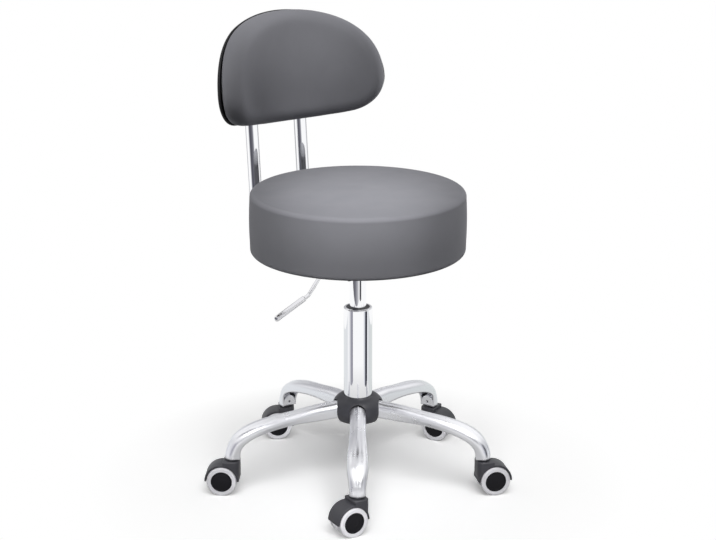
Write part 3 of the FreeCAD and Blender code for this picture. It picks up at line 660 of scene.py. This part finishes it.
def sharpLoops(piece, sharpFrom):
    # the chains of sharp edges, longest first, as lists of edge indices
    enterEdit(piece, "EDGE")
    bpy.ops.mesh.select_all(action="DESELECT")
    bpy.ops.mesh.edges_select_sharp(sharpness=math.radians(sharpFrom))
    leaveEdit()
    loose = [edge for edge in piece.data.edges if edge.select]
    touching = {}
    for edge in loose:
        for corner in edge.vertices:
            touching.setdefault(corner, []).append(edge)
    loops, seen = [], set()
    for edge in loose:
        loop, waiting = [], [edge]
        while waiting:
            here = waiting.pop()
            if here.index not in seen:
                seen.add(here.index)
                loop.append(here.index)
                waiting += [other for corner in here.vertices for other in touching[corner]]
        loops.append(loop)
    places = piece.data.vertices

    def length(loop):
        ends = [piece.data.edges[index].vertices for index in loop]
        return sum((places[first].co - places[last].co).length for first, last in ends)

    return sorted(loops, key=length, reverse=True)


def meanDepth(piece, loop):
    mesh = piece.data
    depths = [mesh.vertices[corner].co.y for index in loop for corner in mesh.edges[index].vertices]
    return sum(depths) / len(depths)


def makeBackShell():
    look = backShellLook
    shell = copyOf(nodes[look["node"]], "backShell", Matrix.Identity(4))
    editAll(shell)
    bpy.ops.mesh.remove_doubles(threshold=mergeGap)
    leaveEdit()
    # the two longest loops are the rim's, and the front one lies nearer to the sitter
    rims = sharpLoops(shell, look["sharpFrom"])[:2]
    frontRim = min(rims, key=lambda loop: meanDepth(shell, loop))
    pickNothing(shell, "EDGE")
    for index in frontRim:
        shell.data.edges[index].select = True
    bpy.ops.object.mode_set(mode="EDIT")
    bpy.ops.mesh.duplicate()
    bpy.ops.mesh.separate(type="SELECTED")
    leaveEdit()
    trim = next(piece for piece in bpy.context.selected_objects if piece != shell)
    makeActive(trim)
    trim.name = "backTrim"
    bpy.ops.object.convert(target="CURVE")
    trim.data.bevel_depth = look["trimRadius"]
    trim.data.bevel_resolution = look["trimSteps"]
    bpy.ops.object.convert(target="MESH")
    trim.data.name = "backTrim"
    outwards(trim)
    smoothShade(trim, 60)
    finish = makeMoulded("darkShellPlastic", look["colour"], look["roughness"], look["grain"],
                         gloss=look["gloss"])
    hand(trim, "seat", "black_plastic", finish)
    editAll(shell)
    bpy.ops.mesh.dissolve_limited(angle_limit=math.radians(look["flatWithin"]))
    leaveEdit()
    roundEdges(shell, look["rimRounding"], look["segments"], look["roundFrom"])
    smoothShade(shell)
    hand(shell, "seat", "black_plastic", finish, look["node"])
    print("trim:", len(trim.data.polygons), "faces, rim of", len(frontRim), "edges")


makeBackShell()
print("back shell ready")


# Dust cover: thin non-woven cloth stretched under the seat, cut out round the mounting plate

dustCover = {
    "radius": 152.0 * mm, "segments": 96, "thickness": 0.5 * mm, "gap": 0.15 * mm, "margin": 3.0 * mm,
    "cutDepth": 20.0 * mm,
}


def makeDustCover():
    look = dustCover
    low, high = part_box("mount_plate")
    top = seatLow - look["gap"]
    deselectAll()
    bpy.ops.mesh.primitive_cylinder_add(vertices=look["segments"], radius=look["radius"],
                                        depth=look["thickness"],
                                        location=(0, 0, top - look["thickness"] / 2))
    cover = named("dustCover")
    deselectAll()
    middle = (low + high) / 2
    size = high - low
    width, depth = (side + 2 * look["margin"] for side in size.to_2d())
    bpy.ops.mesh.primitive_cube_add(size=1, location=(middle.x, middle.y, top),
                                    scale=(width, depth, look["cutDepth"]))
    combine(cover, named("plateOpening"), "DIFFERENCE")
    smoothShade(cover, 30)
    hand(cover, "seat", "cover", makeNonWoven())


makeDustCover()
print("dust cover ready")


# Casters: one hood and one wheel disc, modelled with the stem on Z and the wheels trailing towards +X

casterHood = {
    "drumRadius": 29.0 * mm, "halfWidth": 17.5 * mm, "wallReach": 14.0 * mm, "turretReach": 13.5 * mm,
    "cornerRadius": 10.0 * mm, "slant": 9.0 * mm, "cavityRadius": 26.0 * mm, "web": 13.0 * mm,
    "stemRecess": (8.3 * mm, 2.5 * mm), "edgeRounding": 1.8 * mm, "edgeSteps": 4, "cornerSteps": 10,
    "cutPlay": 4.0 * mm,
}
wheelDisc = {
    # radius and distance from the caster's middle plane, from the axle's blind bore out to the face
    "rings": [(0, 17.0), (3.05, 17.0), (3.05, 7.0), (17.8, 7.0), (17.8, 18.1), (17.4, 18.6),
              (16.6, 18.8), (15.7, 18.7), (15.3, 18.15), (14.9, 17.9), (14.4, 17.95), (14.0, 18.2),
              (9.0, 18.5), (5.2, 18.6), (4.9, 18.75), (4.2, 18.85), (0, 18.9)],
    "segments": 72,
}


def casterPlace(number):
    stem = Vector(joints[f"caster_{number}_swivel"]["pos_m"])
    axle = Vector(joints[f"wheel_{number}_left_spin"]["pos_m"])
    trail = axle - stem
    return Matrix.Translation((stem.x, stem.y, 0)) @ Matrix.Rotation(math.atan2(trail.y, trail.x), 4, "Z")


stemPlace = Vector(joints["caster_1_swivel"]["pos_m"])
axlePlace = Vector(joints["wheel_1_left_spin"]["pos_m"])
axleHeight = axlePlace.z
casterTrail = (axlePlace - stemPlace).to_2d().length
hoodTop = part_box("caster_1_hood")[1].z


def addDrum(name, radius, depth, x, y, z, vertices=72, along="Y"):
    deselectAll()
    turn = (math.radians(90), 0, 0) if along == "Y" else (0, 0, 0)
    bpy.ops.mesh.primitive_cylinder_add(vertices=vertices, radius=radius, depth=depth, location=(x, y, z),
                                        rotation=turn)
    drum = named(name)
    settle(drum)
    return drum


def bevelPicked(piece, width, segments, test):
    pickEdges(piece, test)
    bpy.ops.mesh.bevel(offset=width, segments=segments, affect="EDGES")
    leaveEdit()


def makeHood():
    look = casterHood
    close = 0.1 * mm
    hood = addDrum("casterHood", look["drumRadius"], 2 * look["halfWidth"], casterTrail, 0, axleHeight)
    editAll(hood)
    bpy.ops.mesh.bisect(plane_co=(0, 0, axleHeight), plane_no=(0, 0, 1), use_fill=True, clear_inner=True)
    leaveEdit()
    bevelPicked(hood, look["edgeRounding"], look["edgeSteps"],
                lambda a, b: abs(a.y - b.y) < close and max(a.z, b.z) > axleHeight + close)
    low, high = -look["wallReach"], look["turretReach"]
    deselectAll()
    bpy.ops.mesh.primitive_cube_add(size=1, location=((low + high) / 2, 0, (axleHeight + hoodTop) / 2),
                                    scale=(high - low, 2 * look["halfWidth"], hoodTop - axleHeight))
    turret = named("casterTurret")
    settle(turret)
    bevelPicked(turret, look["cornerRadius"], look["cornerSteps"],
                lambda a, b: a.x < 0 and b.x < 0 and abs(a.z - b.z) > look["slant"])
    bevelPicked(turret, look["edgeRounding"], look["edgeSteps"],
                lambda a, b: min(a.z, b.z) > hoodTop - close)
    editAll(turret)
    foot = look["wallReach"] - (look["cavityRadius"] - casterTrail)
    slope = Vector((look["slant"], 0, foot)).normalized()
    bpy.ops.mesh.bisect(plane_co=(low, 0, axleHeight + look["slant"]), plane_no=slope, use_fill=True,
                        clear_inner=True)
    leaveEdit()
    combine(hood, turret, "UNION")
    depth = look["halfWidth"] + look["cutPlay"]
    reach = (look["web"] + look["halfWidth"]) / 2 + look["cutPlay"] / 2
    for side in (1, -1):
        cavity = addDrum("wheelSpace", look["cavityRadius"], depth, casterTrail, side * reach, axleHeight)
        combine(hood, cavity, "DIFFERENCE")
    recessRadius, recessDepth = look["stemRecess"]
    recess = addDrum("stemRecess", recessRadius, 2 * recessDepth, 0, 0, hoodTop, along="Z")
    combine(hood, recess, "DIFFERENCE")
    smoothShade(hood)
    return hood


def makeDisc():
    disc = turnOnLathe("wheelDisc", wheelDisc["rings"], wheelDisc["segments"])
    onAxle = Matrix.Translation((casterTrail, 0, axleHeight))
    disc.data.transform(onAxle @ Matrix.Rotation(math.radians(-90), 4, "X"))
    smoothShade(disc, 30)
    return disc


hoodModel = makeHood()
discModel = makeDisc()
halfTurn = (Matrix.Translation((casterTrail, 0, 0)) @ Matrix.Rotation(math.pi, 4, "Z")
            @ Matrix.Translation((-casterTrail, 0, 0)))
for number in casterNumbers:
    place = casterPlace(number)
    hood = copyOf(hoodModel, f"caster{number}Hood", place)
    hand(hood, f"caster_{number}", "black_plastic", finishes["black_plastic"], f"caster_{number}_hood")
    for side, turn in zip(sides, (Matrix.Identity(4), halfTurn)):
        disc = copyOf(discModel, f"caster{number}Disc{side.title()}", place @ turn)
        hand(disc, f"wheel_{number}_{side}", "wheel_disc", finishes["wheel_disc"],
             f"caster_{number}_wheel_{side}")
for model in (hoodModel, discModel):
    bpy.data.objects.remove(model)
print("casters ready")


# Hub cover: a turned dome with an arch over each leg

hubCover = {
    # radius and height above the skirt's lower edge, from there up over the shoulder to the neck
    "rings": [(37.8, 0.0), (40.4, 3.0), (42.3, 7.5), (43.4, 13.0), (43.7, 18.5), (43.1, 24.0), (41.4, 29.5),
              (38.5, 34.0), (34.6, 37.6), (30.2, 39.9), (26.5, 41.0)],
    "segments": 120, "wall": 2.5, "bore": 24.4, "hubRadius": 31.0 * mm,
    "archHalf": 13.8 * mm, "archTop": 143.8 * mm, "archDepth": 30.0 * mm, "archDrop": 60.0 * mm,
    "archSegments": 48, "rounding": 0.9 * mm, "roundSteps": 3, "roundFrom": 50,
}


def makeHubCover():
    look = hubCover
    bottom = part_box("hub_cover")[0].z / mm
    outer = [(radius, bottom + height) for radius, height in look["rings"]]
    inner = [(radius - look["wall"], height - look["wall"]) for radius, height in outer]
    inner[0] = (inner[0][0], outer[0][1])
    top = outer[-1][1]
    inner[-1] = (look["bore"], top - look["wall"])
    rings = outer + [(look["bore"], top)] + inner[::-1] + [outer[0]]
    cover = turnOnLathe("hubCover", rings, look["segments"])
    for number in casterNumbers:
        stem = joints[f"caster_{number}_swivel"]["pos_m"]
        angle = math.atan2(stem[1], stem[0])
        arch = addDrum("legArch", look["archHalf"], look["archDepth"], 0, 0, 0, look["archSegments"])
        arch.data.transform(Matrix.Rotation(math.radians(90), 4, "Z"))
        editAll(arch)
        bpy.ops.mesh.bisect(plane_co=(0, 0, 0), plane_no=(0, 0, 1), clear_inner=True)
        bpy.ops.mesh.extrude_edges_move(TRANSFORM_OT_translate={"value": (0, 0, -look["archDrop"])})
        bpy.ops.mesh.edge_face_add()
        leaveEdit()
        out, up = look["hubRadius"] + look["archDepth"] / 2, look["archTop"] - look["archHalf"]
        arch.data.transform(Matrix.Rotation(angle, 4, "Z") @ Matrix.Translation((out, 0, up)))
        combine(cover, arch, "DIFFERENCE")
    roundEdges(cover, look["rounding"], look["roundSteps"], look["roundFrom"])
    smoothShade(cover)
    hand(cover, "base", "black_plastic", finishes["black_plastic"], "hub_cover")


makeHubCover()
print("hub cover ready")


# Stage: a white floor, soft light, cards for the chrome to mirror, and the photo's camera

stageLook = {
    "floorSize": 40.0, "floorColour": 1.36, "floorLift": 0.06, "floorBounce": 0.05,
    # from the first distance to the second the floor turns into plain paper, and its mirrored tone grows from a
    # painted shade near the stool to white
    "floorGlow": (0.0, 1.0), "glowReach": (0.2, 0.46),
    "floorMirrorShade": (0.5, 1.0), "mirrorShadeReach": (0.25, 0.6),
    "ambientTop": 0.22, "ambientHorizon": 0.15,
    "mirroredSky": [(0.0, (0.34, 0.34, 0.36)), (0.15, (0.45, 0.45, 0.47)), (0.5, (1.0, 1.0, 1.0))],
}
photoCamera = {"distance": 2.806, "height": 1.227, "turn": -35.0, "tilt": 16.99, "lens": 88.8, "sensor": 36}
keyLamp = {"turn": -26.0, "height": 57.0, "strength": 1.6, "softness": 45.0}
# soft spots: on the front of the seat's top, on the backrest, a low one that only reaches the base,
# and one from each side for the edges
spots = {
    "seatLamp": {"turn": -35.0, "height": 45.0, "distance": 2.4, "aim": (-0.038, -0.056, 0.527),
                 "power": 258.0, "cone": 8.6, "blend": 1.0, "size": 0.04},
    "backLamp": {"turn": -12.0, "height": 55.0, "distance": 2.4, "aim": (0.0, 0.22, 0.73),
                 "power": 85.0, "cone": 8.0, "blend": 1.0, "size": 0.04},
    "baseLamp": {"turn": -35.0, "height": 7.0, "distance": 2.2, "aim": (0, 0, 0.02),
                 "power": 110.0, "cone": 17.0, "blend": 0.4, "size": 0.3},
    "leftLamp": {"turn": -118.0, "height": 4.0, "distance": 2.2, "aim": (0.0, 0.12, 0.62),
                 "power": 60.0, "cone": 24.0, "blend": 0.8, "size": 0.2},
    "rightLamp": {"turn": 90.0, "height": 2.0, "distance": 2.2, "aim": (0.0, 0.1, 0.62),
                  "power": 110.0, "cone": 24.0, "blend": 0.8, "size": 0.2},
}
# what the chrome mirrors: a place to stand round, bearings in degrees, heights in metres,
# and tones from the first bearing on
cards = {
    "greyCard": {"round": (0, 0), "bearings": (-166, -200), "heights": (0.0, 0.156), "distance": 0.5,
                 "tones": [(0.0, (0.25, 0.245, 0.30)), (0.4, (0.32, 0.32, 0.37)), (1.0, (0.95, 0.95, 0.97))]},
    "blackCard": {"round": (0, 0), "bearings": (-42, -81), "heights": (0.0, 0.156), "distance": 0.5,
                  "tones": [(0.0, (0.7, 0.72, 0.76)), (0.18, (0.6, 0.62, 0.66)), (0.2, (0.01, 0.01, 0.02)),
                            (0.58, (0.02, 0.02, 0.03)), (0.63, (0.5, 0.52, 0.58)), (1.0, (0.9, 0.9, 0.92))]},
    "leftCard": {"round": (0, 0), "bearings": (-206, -300), "heights": (0.0, 0.156), "distance": 0.5,
                 "tones": [(0.0, (0.9, 0.9, 0.92)), (0.25, (0.76, 0.78, 0.8)), (1.0, (0.8, 0.82, 0.82))]},
    "rightCard": {"round": (0, 0), "bearings": (-36, 50), "heights": (0.0, 0.156), "distance": 0.5,
                  "tones": [(0.0, (0.68, 0.7, 0.72)), (0.5, (0.7, 0.73, 0.72)), (1.0, (0.8, 0.82, 0.82))]},
    "tubeCard": {"round": (0, 0), "bearings": (-80, -104), "heights": (0.165, 0.24), "distance": 0.5,
                 "tones": [(0.0, (0.08, 0.08, 0.09)), (1.0, (0.08, 0.08, 0.09))]},
    "uprightCard": {"round": (0, 0.243), "bearings": (-102, -187), "heights": (0.24, 0.6), "distance": 0.5,
                    "tones": [(0.0, (0.8, 0.8, 0.82)), (0.12, (0.45, 0.45, 0.48)), (0.27, (0.2, 0.2, 0.23)),
                              (0.5, (0.11, 0.11, 0.13)), (0.73, (0.08, 0.08, 0.10)), (0.85, (0.3, 0.3, 0.33)),
                              (1.0, (0.8, 0.8, 0.82))]},
    "edgeCard": {"round": (0, 0.243), "bearings": (-15, 125), "heights": (0.24, 0.6), "distance": 0.5,
                 "tones": [(0.0, (0.95, 0.95, 0.97)), (0.25, (0.55, 0.55, 0.57)), (0.5, (0.4, 0.4, 0.42)),
                           (0.75, (0.5, 0.5, 0.52)), (1.0, (0.95, 0.95, 0.97))]},
}
# a disc close under the seat, which the chrome mirrors in place of the dark underside
underCard = {"radius": 160.0 * mm, "segments": 64, "gap": 2.0 * mm, "tone": (0.86, 0.86, 0.88)}


def addLength(tree):
    # how far a point of the floor lies from the column
    place = tree.nodes.new("ShaderNodeTexCoord")
    length = tree.nodes.new("ShaderNodeVectorMath")
    length.operation = "LENGTH"
    tree.links.new(place.outputs["Object"], length.inputs[0])
    return length.outputs["Value"]


def mixShaders(tree, share, first, second):
    mix = tree.nodes.new("ShaderNodeMixShader")
    tree.links.new(share, mix.inputs["Fac"])
    tree.links.new(first.outputs[0], mix.inputs[1])
    tree.links.new(second.outputs[0], mix.inputs[2])
    return mix


def makeFloor():
    look = stageLook
    deselectAll()
    bpy.ops.mesh.primitive_plane_add(size=look["floorSize"], location=(0, 0, 0))
    floor = named("studioFloor")
    material = bpy.data.materials.new("paleFloor")
    material.use_nodes = True
    tree = material.node_tree
    tree.nodes.remove(tree.nodes["Principled BSDF"])
    reach = addLength(tree)
    path = tree.nodes.new("ShaderNodeLightPath")
    shown = tree.nodes.new("ShaderNodeBsdfDiffuse")
    shown.inputs["Color"].default_value = (*[look["floorColour"]] * 3, 1)
    lift = tree.nodes.new("ShaderNodeEmission")
    lift.inputs["Strength"].default_value = look["floorLift"]
    lifted = tree.nodes.new("ShaderNodeAddShader")
    tree.links.new(shown.outputs[0], lifted.inputs[0])
    tree.links.new(lift.outputs[0], lifted.inputs[1])
    paper = tree.nodes.new("ShaderNodeEmission")
    bounce = tree.nodes.new("ShaderNodeBsdfDiffuse")
    bounce.inputs["Color"].default_value = (*[look["floorBounce"]] * 3, 1)
    # the floor as the chrome mirrors it: a painted shade, darker near the stool and white further out
    mirrored = tree.nodes.new("ShaderNodeEmission")
    seen = addRange(tree, reach, *look["floorMirrorShade"], *look["mirrorShadeReach"])
    tree.links.new(seen, mirrored.inputs["Color"])
    pale = mixShaders(tree, addRange(tree, reach, *look["floorGlow"], *look["glowReach"]), lifted, paper)
    unseen = mixShaders(tree, path.outputs["Is Glossy Ray"], bounce, mirrored)
    surface = mixShaders(tree, path.outputs["Is Camera Ray"], unseen, pale)
    # clear from below, so that the underside of the stool can be looked at
    side = tree.nodes.new("ShaderNodeNewGeometry")
    clear = tree.nodes.new("ShaderNodeBsdfTransparent")
    surface = mixShaders(tree, side.outputs["Backfacing"], surface, clear)
    tree.links.new(surface.outputs[0], tree.nodes["Material Output"].inputs["Surface"])
    floor.data.materials.append(material)


def forMirrorsOnly(piece):
    # gives off a tone of its own that nothing but the chrome sees
    material = bpy.data.materials.new(piece.name)
    material.use_nodes = True
    tree = material.node_tree
    tree.nodes.remove(tree.nodes["Principled BSDF"])
    tone = tree.nodes.new("ShaderNodeEmission")
    tree.links.new(tone.outputs[0], tree.nodes["Material Output"].inputs["Surface"])
    piece.data.materials.append(material)
    for kind in ("camera", "diffuse", "transmission", "volume_scatter", "shadow"):
        setattr(piece, f"visible_{kind}", False)
    return tree, tone


def makeCard(name, card):
    # an upright card that only the chrome sees
    low, high = card["heights"]
    middle = Vector((*card["round"], 0))
    bearings = [math.radians(bearing) for bearing in card["bearings"]]
    ways = [Vector((math.cos(bearing), math.sin(bearing), 0)) for bearing in bearings]
    start, end = (middle + way * card["distance"] for way in ways)
    along, centre = end - start, (start + end) / 2
    deselectAll()
    bpy.ops.mesh.primitive_plane_add(size=1, location=(centre.x, centre.y, (low + high) / 2),
                                     rotation=(math.radians(90), 0, math.atan2(along.y, along.x)))
    piece = named(name)
    piece.scale = (along.length, high - low, 1)
    settle(piece)
    tree, tone = forMirrorsOnly(piece)
    place = tree.nodes.new("ShaderNodeTexCoord")
    split = tree.nodes.new("ShaderNodeSeparateXYZ")
    tree.links.new(place.outputs["UV"], split.inputs[0])
    tree.links.new(addRamp(tree, split.outputs["X"], card["tones"]), tone.inputs["Color"])


def makeUnderCard():
    card = underCard
    deselectAll()
    bpy.ops.mesh.primitive_circle_add(vertices=card["segments"], radius=card["radius"], fill_type="NGON",
                                      location=(0, 0, seatLow - card["gap"]))
    piece = named("underCard")
    settle(piece)
    tree, tone = forMirrorsOnly(piece)
    tone.inputs["Color"].default_value = (*card["tone"], 1)


def makeWorld():
    look = stageLook
    world = bpy.data.worlds.new("softStudio")
    scene.world = world
    world.use_nodes = True
    tree = world.node_tree
    tree.nodes.remove(tree.nodes["Background"])
    place = tree.nodes.new("ShaderNodeTexCoord")
    split = tree.nodes.new("ShaderNodeSeparateXYZ")
    tree.links.new(place.outputs["Generated"], split.inputs[0])
    path = tree.nodes.new("ShaderNodeLightPath")
    ambient = tree.nodes.new("ShaderNodeBackground")
    tree.links.new(addRange(tree, split.outputs["Z"], look["ambientHorizon"], look["ambientTop"], 0.0, 1.0),
                   ambient.inputs["Color"])
    mirrored = tree.nodes.new("ShaderNodeBackground")
    tree.links.new(addRamp(tree, split.outputs["Z"], look["mirroredSky"]), mirrored.inputs["Color"])
    paper = tree.nodes.new("ShaderNodeBackground")
    paper.inputs["Color"].default_value = (1, 1, 1, 1)
    unseen = mixShaders(tree, path.outputs["Is Glossy Ray"], ambient, mirrored)
    surface = mixShaders(tree, path.outputs["Is Camera Ray"], unseen, paper)
    tree.links.new(surface.outputs[0], tree.nodes["World Output"].inputs["Surface"])


def makeKeyLamp():
    deselectAll()
    bpy.ops.object.light_add(type="SUN", location=(0, 0, 3))
    lamp = bpy.context.object
    lamp.name = "keyLamp"
    lamp.data.energy = keyLamp["strength"]
    lamp.data.angle = math.radians(keyLamp["softness"])
    lamp.rotation_euler = (math.radians(90 - keyLamp["height"]), 0, math.radians(keyLamp["turn"]))


def makeSpot(name, look):
    turn, height = math.radians(look["turn"]), math.radians(look["height"])
    aim = Vector(look["aim"])
    back = Vector((math.sin(turn) * math.cos(height), -math.cos(turn) * math.cos(height), math.sin(height)))
    deselectAll()
    bpy.ops.object.light_add(type="SPOT", location=aim + back * look["distance"])
    lamp = bpy.context.object
    lamp.name = name
    lamp.data.energy = look["power"]
    lamp.data.spot_size = math.radians(look["cone"])
    lamp.data.spot_blend = look["blend"]
    lamp.data.shadow_soft_size = look["size"]
    # the chrome doesn't mirror the lamps
    lamp.visible_glossy = False
    lamp.rotation_euler = back.to_track_quat("Z", "Y").to_euler()


def makeCamera():
    turn = math.radians(photoCamera["turn"])
    reach = photoCamera["distance"]
    deselectAll()
    place = (reach * math.sin(turn), -reach * math.cos(turn), photoCamera["height"])
    bpy.ops.object.camera_add(location=place, rotation=(math.radians(90 - photoCamera["tilt"]), 0, turn))
    camera = bpy.context.object
    camera.name = "photoCamera"
    camera.data.lens = photoCamera["lens"]
    camera.data.sensor_width = photoCamera["sensor"]
    scene.camera = camera


makeFloor()
makeWorld()
for name, card in cards.items():
    makeCard(name, card)
makeUnderCard()
makeKeyLamp()
for name, look in spots.items():
    makeSpot(name, look)
makeCamera()
print("stage ready")
